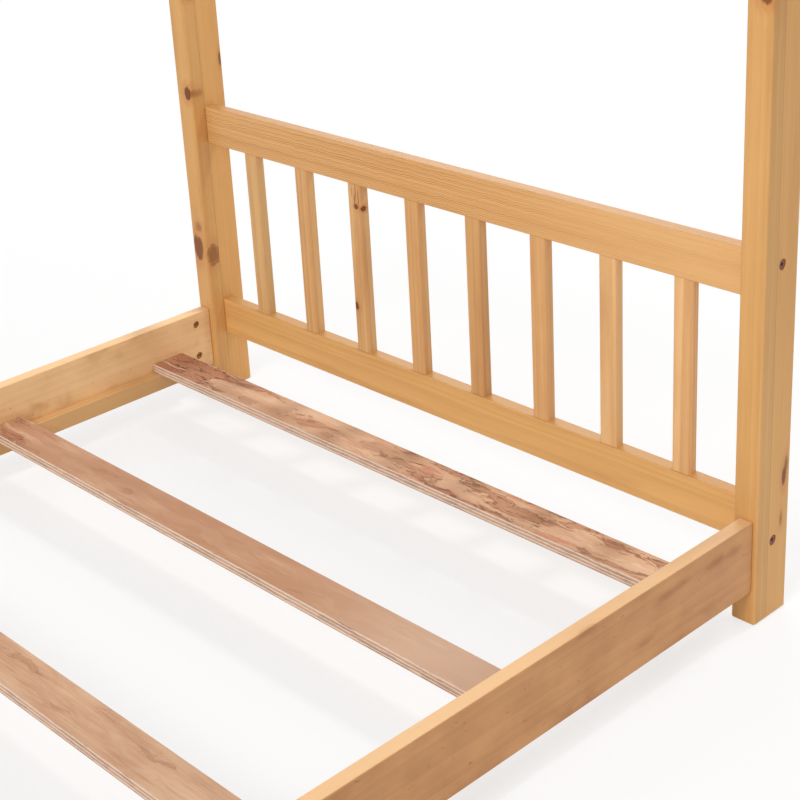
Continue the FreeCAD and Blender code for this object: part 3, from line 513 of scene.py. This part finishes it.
def plywood(name, seed, rough, dark, stretches=(), knots=(), painted_sheen=None):
    """Dress a slat. Each stretch is (from, to, amount) along the grain, in metres."""
    low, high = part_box(name)
    material = new_material(name + "_plywood")
    tree = material.node_tree
    space = board_space(tree, middle(name), ALONG_X)
    grown = space.vector("ADD", (seed, seed * 0.4, 0))
    along, side, depth = space.split()
    narrow = near_face(side, (high.y - low.y) / 2)
    narrow = narrow.math("MAXIMUM", near_face(along, (high.x - low.x) / 2))
    worn = rough
    for start, end, amount in stretches:
        worn = worn + along.ramp(start, end) * amount
    colour, fibre, torn = veneer(grown, worn, dark)
    # A painted sheen: one stretch is painted paler and greyer.
    if painted_sheen:
        start, end, amount = painted_sheen
        colour = (along.ramp(start, end) * amount).mix(colour, screen(208, 180, 156))
    if knots:
        colour = lay_knots(colour, add_knots(space, knots), VENEER_KNOT)
    plies, seam = ply_layers(grown, depth)
    colour = narrow.mix(colour, plies)
    bump = fibre * 0.5 - torn * 0.6 - seam * narrow * 0.8
    finish_surface(tree, colour, 0.58 + fibre * 0.18, bump, strength=0.5)
    dress(name, material)


low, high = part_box("slat_1")
print("slat_1 is", round(1000 * (high.z - low.z), 1), "mm thick")


# %% [markdown]
# ## Metal and dowels
# The bolts and barrel nuts are plated steel with a dull bronze colour, the bolts purplish and the
# nuts brassy, worn paler in small patches. The dowels are beech, which shows short flecks. Each
# could have scratches of its own, but they are small in the picture. So simple noise at a fine
# scale is enough, and all fasteners of a kind share a material.

# %% Fasteners
def bronze(name, light, dark):
    """Dull plated steel, worn paler in small patches."""
    material = new_material(name)
    tree = material.node_tree
    space = board_space(tree, (0, 0, 0), ALONG_X)
    worn = space.scaled(420, 420, 420).noise(3, 0.6)
    cloud = space.scaled(120, 120, 120).noise(2, 0.5)
    colour = cloud.mix(light, dark)
    colour = worn.ramp(0.56, 0.72).mix(colour, screen(176, 132, 98))
    finish_surface(tree, colour, 0.4 + worn * 0.25, worn, strength=0.2, metallic=0.45)
    return material


def beech(name):
    """Pale dowel wood with short dark flecks."""
    material = new_material(name)
    tree = material.node_tree
    space = board_space(tree, (0, 0, 0), ALONG_X)
    flecks = space.scaled(700, 700, 700).noise(3, 0.6)
    bands = space.scaled(60, 200, 200).noise(2, 0.5)
    colour = bands.mix(screen(214, 170, 124), screen(184, 134, 92))
    colour = flecks.ramp(0.55, 0.7).mix(colour, screen(150, 100, 66))
    finish_surface(tree, colour, 0.55 + flecks * 0.2, flecks)
    return material


bolt_metal = bronze("bronze_bolts", screen(150, 98, 86), screen(118, 74, 66))
nut_metal = bronze("bronze_nuts", screen(182, 132, 78), screen(140, 96, 52))
dowel_wood = beech("beech_dowels")
fasteners = {"bolts": bolt_metal, "screws": bolt_metal, "barrel_nuts": nut_metal, "dowels": dowel_wood}
for name in nodes:
    for ending, material in fasteners.items():
        if name.endswith(ending):
            dress(name, material)
print(sum(name.endswith(tuple(fasteners)) for name in nodes), "nodes of fasteners dressed")


# %% [markdown]
# ## Chance
# Boards that nothing else tells apart still differ in where they were cut and where their knots
# are. Each board draws its numbers from a generator seeded with its own name, so the bed is the
# same on every run, and a change to one board leaves the others alone.

# %% Random places in the tree
def chance(name):
    return random.Random(name)


def boards(*words):
    """The nodes whose names hold one of these words."""
    return [name for name in nodes if any(word in name for word in words)]


def scattered_knots(name, count, length, half_side, half_depth, size=0.008):
    """A few knots on the faces of a board, in its own space."""
    dice = chance(name + "_knots")
    knots = []
    for number in range(count):
        along = (number + dice.uniform(0.15, 0.85)) / count - 0.5
        face = dice.choice(((half_side, 0), (-half_side, 0), (0, half_depth), (0, -half_depth)))
        slide = dice.uniform(-0.5, 0.5)
        side = face[0] or slide * half_side
        depth = face[1] or slide * half_depth
        radius = size * dice.uniform(0.6, 1.15)
        knots.append(((along * length, side, depth), (radius * 1.25, radius, radius), 0.9))
    return knots


print("one knot:", scattered_knots("sample", 1, 1.0, 0.03, 0.02)[0])


# %% [markdown]
# ## Posts
# A post is glued up from a thin stave towards the bed and a thicker one towards the bed's end. The
# knots of the two head posts are placed in the bed's own metres, where the real ones show: some of
# the left post's wrap round its corner and stop at the glue line. The other posts get scattered
# ones, because nothing says where theirs are.

# %% Posts
STAVE_LINE = -0.009
# Half the section of a post or rafter, from stave to stave and the other way.
POST_HALF = (0.032, 0.017)
STAVES = {"ring": 0.0085, "onset": 0.0, "contrast": 0.17, "stain": 0.4}
POST_KNOTS = {
    "post_head_left": (
        ((-0.504, 0.936, 0.490), (0.010, 0.007, 0.007), 1.0),
        ((-0.496, 0.944, 0.489), (0.006, 0.015, 0.008), 0.45),
        ((-0.516, 0.936, 0.240), (0.019, 0.009, 0.011), 0.9),
        ((-0.496, 0.948, 0.229), (0.017, 0.011, 0.007), 0.7),
        ((-0.510, 0.936, 0.275), (0.007, 0.005, 0.008), 0.5),
        ((-0.496, 0.996, 0.532), (0.012, 0.003, 0.005), 0.8),
        ((-0.496, 0.952, 0.636), (0.006, 0.012, 0.006), 0.8),
        ((-0.512, 0.936, 0.868), (0.012, 0.008, 0.010), 1.0),
    ),
    "post_head_right": (
        ((0.530, 0.987, 0.182), (0.013, 0.004, 0.006), 0.9),
        ((0.530, 0.990, 0.194), (0.012, 0.003, 0.006), 0.7),
        ((0.530, 0.984, 0.127), (0.010, 0.003, 0.006), 0.5),
        ((0.520, 0.936, 0.760), (0.010, 0.006, 0.009), 0.9),
        ((0.530, 0.975, 0.980), (0.011, 0.008, 0.007), 0.9),
    ),
}


def stave_line(name):
    """The thin stave is towards the bed at either end."""
    return STAVE_LINE if "head" in name else -STAVE_LINE


def placed_knots(name, turn, knots):
    """Knots given in the bed's metres, in the space of a board."""
    to_board = Euler(turn).to_matrix().inverted()
    return [(tuple(to_board @ (Vector(spot) - middle(name))), radii, strength)
            for spot, radii, strength in knots]


for name in boards("post_"):
    dice = chance(name)
    if name in POST_KNOTS:
        knots = placed_knots(name, ALONG_Z, POST_KNOTS[name])
    else:
        knots = scattered_knots(name, 4, 1.2, *POST_HALF)
    pith = (dice.uniform(0.05, 0.08), dice.uniform(-0.03, 0.03))
    pine(name, ALONG_Z, knots, stave_line(name), pith=pith, seed=dice.uniform(1, 9),
         early=(221, 171, 107), **STAVES)
print(len(boards("post_")), "posts dressed")


# %% [markdown]
# ## Panel rails
# The upper rail is cut across the rings, so it shows fine wavy lines, which fade towards its right
# end. The lower rail is cut along them and shows broad soft bands. Each could have a recipe of its
# own, but two settings of the same one give both and keep them the same kind of wood. Both are
# painted paler towards their right ends, as painted light. The top edge of a rail catches the
# lamps' light, so it is painted darker there: painted shade that holds that light back.

# %% Panel rails
# Painted shade along the rails' top edge, darker than the rail.
RAIL_TOP_SHADE = (0.029, (175, 126, 69))
# painted_lift paints both rails paler towards their right ends: painted light.
UPPER_CUT = {
    "ring": 0.0024, "pith": (0.02, 0.09), "contrast": 0.85, "onset": 0.35, "wobble": 0.0015,
    "shiver": 0.006, "shiver_scale": (55, 45, 45), "streak": 0.2, "stain": 0.2, "painted_lift": 0.12,
    "fade": 0.75, "early": (231, 182, 122),
}
LOWER_CUT = {
    "ring": 0.011, "pith": (0.045, 0.035), "contrast": 0.22, "onset": 0.0, "wobble": 0.014,
    "streak": 0.18, "stain": 0.35, "painted_lift": 0.12, "early": (232, 182, 114),
}
for name in boards("upper_rail"):
    pine(name, ALONG_X, crest=RAIL_TOP_SHADE, seed=chance(name).uniform(1, 9), **UPPER_CUT)
for name in boards("lower_rail"):
    pine(name, ALONG_X, crest=RAIL_TOP_SHADE, seed=chance(name).uniform(1, 9), **LOWER_CUT)
print(len(boards("upper_rail", "lower_rail")), "panel rails dressed")


# %% [markdown]
# ## Spindles
# Spindles are made from offcuts of many boards, so their tone and their rings differ most. The
# eight of the head panel have their looks set one by one, and the others draw theirs. The third one
# has a pair of small knots with thin cracks above them. A crack is a knot whose radii are long
# along the grain and very short across it.

# %% Spindles
SPINDLE_KNOTS = {
    "head_spindle_3": (
        ((0.095, -0.008, -0.004), (0.0038, 0.004, 0.0044), 1.0),
        ((0.093, -0.003, -0.0135), (0.0040, 0.0052, 0.004), 1.0),
        ((0.104, -0.008, -0.001), (0.0090, 0.003, 0.0010), 0.75),
        ((0.119, -0.008, -0.0035), (0.0120, 0.003, 0.0009), 0.75),
        ((0.108, -0.008, -0.0085), (0.0140, 0.003, 0.0009), 0.7),
        ((0.117, -0.008, 0.0045), (0.0080, 0.003, 0.0008), 0.5),
        ((-0.058, -0.008, 0.010), (0.0060, 0.004, 0.005), 1.0),
    ),
}
# Brightness, redness and contrast of the head's spindles, from the left.
SPINDLE_LOOKS = (
    (-5, -6, 0.2), (1, -2, 0.35), (4, -4, 0.3), (0, 0, 0.25),
    (-7, 0, 0.25), (4, 1, 0.2), (13, -4, 0.3), (17, -4, 0.4),
)
for name in boards("spindle"):
    dice = chance(name)
    if "head" in name:
        bright, red, contrast = SPINDLE_LOOKS[int(name[-1]) - 1]
    else:
        bright, red, contrast = dice.uniform(-6, 8), dice.uniform(-2, 6), dice.uniform(0.2, 0.4)
    knots = SPINDLE_KNOTS.get(name, ())
    if not knots and dice.random() < 0.2:
        knots = scattered_knots(name, 1, 0.2, 0.008, 0.0135, 0.005)
    early = (226 + bright, 178 + bright - red, 120 + bright - red)
    late = (190 + bright, 130 + bright - red, 76 + bright - red)
    ring = dice.uniform(0.006, 0.010)
    pith = (dice.uniform(0.01, 0.05), dice.uniform(-0.05, 0.05))
    pine(name, ALONG_Z, knots, early=early, late=late, ring=ring, pith=pith, contrast=contrast,
         onset=0.0, stain=0.45, seed=dice.uniform(1, 9))
print(len(boards("spindle")), "spindles dressed")


# %% [markdown]
# ## Side rails, cleats and beams
# All of these run along the bed, cut along their rings, so they show only faint broad bands. The
# side rails are mottled, with dark flecks and a painted highlight along their top edge. The right
# one is painted darker all over, as painted shade for its outer face, and has a few smudges on that
# face. A smudge could have a helper of its own, but a knot of little strength looks the same. The
# eave and ridge beams have a few knots each.

# %% Long boards
LONG_BOARDS = ("side_rail_right", "side_rail_left", "cleat_right", "cleat_left",
               "eave_beam_right", "eave_beam_left", "ridge_beam")
# side_rail_right is painted darker than side_rail_left: painted shade for its outer face, which faces
# away from the lamps.
LONG_COLOURS = {
    "side_rail_left": ((242, 203, 152), (212, 166, 114)),
    "cleat_left": ((216, 172, 116), (186, 138, 87)),
    "side_rail_right": ((212, 155, 102), (171, 115, 69)),
}
SMUDGE_PLACES = ((0.864, 0.119), (0.775, 0.118), (0.802, 0.120), (0.898, 0.118), (0.734, 0.075),
                 (0.637, 0.137))
SMUDGES = [((0.5245, y, z), (0.016, 0.006, 0.005), 0.3) for y, z in SMUDGE_PLACES]
MOTTLED = {"patches": (13, 17, 17), "stain": 0.75, "flecks": 0.5}
CLOUDY = {"stain": 0.4}
for name in LONG_BOARDS:
    dice = chance(name)
    low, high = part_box(name)
    half = (high - low) / 2
    knots = ()
    if name == "side_rail_right":
        knots = placed_knots(name, ALONG_Y, SMUDGES)
    elif "beam" in name:
        knots = scattered_knots(name, 4, 1.8, half.x, half.z, 0.006)
    early, late = LONG_COLOURS.get(name, (CUT["early"], CUT["late"]))
    # The side rails' top edge gets one pale colour: a painted highlight, brightest against the right
    # rail's painted shade.
    looks = {**MOTTLED, "crest": (half.z, (238, 196, 144))} if "side" in name else CLOUDY
    ring = dice.uniform(0.010, 0.014)
    pith = (dice.uniform(0.03, 0.05), dice.uniform(-0.02, 0.02))
    pine(name, ALONG_Y, knots, early=early, late=late, ring=ring, pith=pith, onset=0.0,
         contrast=0.16, wobble=0.009, streak=0.13, seed=dice.uniform(1, 9), **looks)
print(len(LONG_BOARDS), "long boards dressed")


# %% [markdown]
# ## Rafters
# The rafters are the sloping boards of the house's roof. The grain of each follows its slope, so
# its space is turned by the roof's pitch instead of a quarter turn. Apart from that, a rafter is
# made as a post is, with the same staves, because both are sawn from the same stock.

# %% Rafters
ROOF_PITCH = 40
for name in boards("rafter_head", "rafter_foot"):
    dice = chance(name)
    slope = -ROOF_PITCH if name.endswith("left") else 180 + ROOF_PITCH
    turn = (0.0, math.radians(slope), 0.0)
    knots = scattered_knots(name, 3, 0.6, *POST_HALF)
    pine(name, turn, knots, stave_line(name), pith=(0.06, dice.uniform(-0.03, 0.03)),
         streak=0.14, seed=dice.uniform(1, 9), **STAVES)
print(len(boards("rafter_head", "rafter_foot")), "rafters dressed")


# %% [markdown]
# ## Slats
# No two slats are alike. The first is rough, and its left end is torn and dark. The second is plain
# and brown, with a knot at its left end, and has a painted sheen towards its right. One material
# could serve all six, but they would look like copies. So two numbers set how rough and how dark a
# slat is, and the rest is placed where the real slats show it.

# %% Slats
SLAT_LOOKS = ((0.5, 0.1), (0.15, 0.8), (0.2, 0.2), (0.5, 0.2), (0.3, 0.1), (0.6, 0.3))
SLAT_STRETCHES = {
    "slat_1": ((-0.32, -0.41, 0.9), (-0.12, 0.10, 0.35)),
    "slat_2": ((-0.40, -0.46, 0.6),),
}
SLAT_KNOTS = {
    "slat_1": (
        ((-0.485, 0.016, 0.007), (0.020, 0.008, 0.010), 0.7),
        ((-0.290, -0.016, 0.007), (0.018, 0.007, 0.010), 0.75),
        ((-0.115, -0.014, 0.007), (0.012, 0.006, 0.010), 0.7),
        ((-0.042, 0.002, 0.007), (0.022, 0.008, 0.010), 0.6),
    ),
    "slat_2": (
        ((-0.450, -0.012, 0.007), (0.014, 0.004, 0.010), 1.0),
        ((-0.195, -0.004, 0.007), (0.010, 0.005, 0.010), 0.6),
    ),
}
# Painted sheen on the second slat, paler towards its right end.
PAINTED_SHEEN = {"slat_2": (0.12, 0.40, 0.55)}
for number, (rough, dark) in enumerate(SLAT_LOOKS, 1):
    name = f"slat_{number}"
    plywood(name, 3.7 * number, rough, dark, SLAT_STRETCHES.get(name, ()),
            SLAT_KNOTS.get(name, ()), PAINTED_SHEEN.get(name))
print(len(SLAT_LOOKS), "slats dressed")


# %% [markdown]
# ## Floor
# The background is plain white. More light on a white floor would also bleach the bed, so the rays
# that show the background see a floor that glows with a strength of 1, which is white. Near the
# bed, part of the floor's own shade shows through, so it keeps a faint shadow. All other rays see a
# pale floor that sends soft light up to the bed.

# %% Floor
FLOOR_REACH = 30
FLOOR_GAP = 0.0004
# Within 1.2 m of the middle the floor is 70 percent glow, and from 2.8 m it is all glow.
SHADOW_REACH = (1.2, 2.8)
SHADOW_WHITE = 0.7


def plainly_seen(tree):
    """1 for the rays that show the background, and 0 for those that light the bed."""
    start = Field(tree)
    camera, glossy, transmission = [
        start.node("ShaderNodeLightPath", output=kind)
        for kind in ("Is Camera Ray", "Is Glossy Ray", "Is Transmission Ray")]
    return camera.math("MAXIMUM", glossy).math("MAXIMUM", transmission)


floor_mesh = bpy.data.meshes.new("floor")
shape = bmesh.new()
bmesh.ops.create_grid(shape, x_segments=1, y_segments=1, size=FLOOR_REACH)
bmesh.ops.translate(shape, verts=shape.verts, vec=(0, 0, -FLOOR_GAP))
shape.to_mesh(floor_mesh)
shape.free()
floor = bpy.data.objects.new("floor", floor_mesh)
bpy.context.scene.collection.objects.link(floor)
floor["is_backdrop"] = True
floor_material = new_material("white_floor")
floor_mesh.materials.append(floor_material)
tree = floor_material.node_tree
start = Field(tree)
place = start.node("ShaderNodeTexCoord", output="Object")
white = place.vector("LENGTH", output=1).ramp(*SHADOW_REACH, SHADOW_WHITE, 1.0)
lit = start.node("ShaderNodeBsdfDiffuse", {"Color": (0.84, 0.84, 0.84, 1)})
glow = start.node("ShaderNodeEmission", {"Color": (1, 1, 1, 1), "Strength": 1.0})
surface = start.node("ShaderNodeMixShader", {0: plainly_seen(tree) * white, 1: lit, 2: glow})
tree.links.new(surface.socket, tree.nodes["Material Output"].inputs["Surface"])
print("a corner of the floor is at", tuple(floor_mesh.vertices[0].co))


# %% [markdown]
# ## World
# The world is the pale light from all round the bed. It is white where it is seen, and half as
# strong where it lights the bed. An even light alone would make the boards look flat, so the lamps
# are left to give them a lit and a shaded side.

# %% World
EVEN_LIGHT = 0.5
world = bpy.data.worlds.new("studio")
bpy.context.scene.world = world
world.use_nodes = True
tree = world.node_tree
strength = plainly_seen(tree) * (1 - EVEN_LIGHT) + EVEN_LIGHT
background = tree.nodes["Background"]
background.inputs["Color"].default_value = (1, 1, 1, 1)
tree.links.new(strength.socket, background.inputs["Strength"])
print("the world lights the bed with a strength of", EVEN_LIGHT)


# %% [markdown]
# ## Lamps
# Three disc lamps give plain soft light. The key stands high beyond the head and lights the top
# edges, the front one lights the faces that the camera sees, and the back one keeps the far side
# from going dull. One lamp alone would leave faces nearly black. All three stand metres away, so
# that no part of the bed is lit much more than another.

# %% Lamps
def soft_lamp(name, place, target, size, energy):
    lamp = bpy.data.lights.new(name, "AREA")
    lamp.shape = "DISK"
    lamp.size = size
    lamp.energy = energy
    holder = bpy.data.objects.new(name, lamp)
    holder.location = place
    holder.rotation_euler = (Vector(target) - Vector(place)).to_track_quat("-Z", "Y").to_euler()
    bpy.context.scene.collection.objects.link(holder)


soft_lamp("key", (0.7, 2.9, 4.1), target=(-0.3, 0.6, 0.2), size=0.7, energy=66)
soft_lamp("front", (1.6, -5.4, 5.0), target=(0.1, 0.7, 0.3), size=3.2, energy=325)
soft_lamp("back", (-2.2, 3.4, 2.6), target=(0, 0, 0.3), size=2.4, energy=48)
print(len(bpy.data.lights), "lamps placed")


# %% [markdown]
# ## Camera
# The camera looks down at the head panel from beyond the right side rail, through a long lens. The
# photograph's own camera was level and its picture was cut from far below the horizon, which would
# take a very large shift. This one is tilted down instead and shifted a little, so that the bed
# stays in the picture from other sides too. Its numbers were fitted to the edges of the boards.

# %% Camera
IMAGE_WIDTH = 800
SENSOR_WIDTH = 36
FOCAL_PIXELS = 1700.6
YAW, PITCH, ROLL = math.radians(47.271), math.radians(22.292), math.radians(-3.188)
camera_data = bpy.data.cameras.new("camera")
camera = bpy.data.objects.new("camera", camera_data)
bpy.context.scene.collection.objects.link(camera)
bpy.context.scene.camera = camera
camera_data.sensor_width = SENSOR_WIDTH
camera_data.lens = FOCAL_PIXELS / IMAGE_WIDTH * SENSOR_WIDTH
camera_data.shift_y = -0.12
camera.location = (1.5260, -0.5301, 1.1492)
look = Vector((-math.sin(YAW) * math.cos(PITCH), math.cos(YAW) * math.cos(PITCH), -math.sin(PITCH)))
camera.rotation_mode = "QUATERNION"
camera.rotation_quaternion = look.to_track_quat("-Z", "Y") @ Quaternion((0, 0, 1), ROLL)
bpy.context.scene.view_settings.view_transform = "Standard"
print("camera at", tuple(camera.location), "lens", camera_data.lens)


# %% [markdown]
# ## Finish
# The materials haven't changed any board's size. At the end, the box round everything that is
# drawn, apart from the floor, is measured.

# %% Finish
low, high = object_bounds()
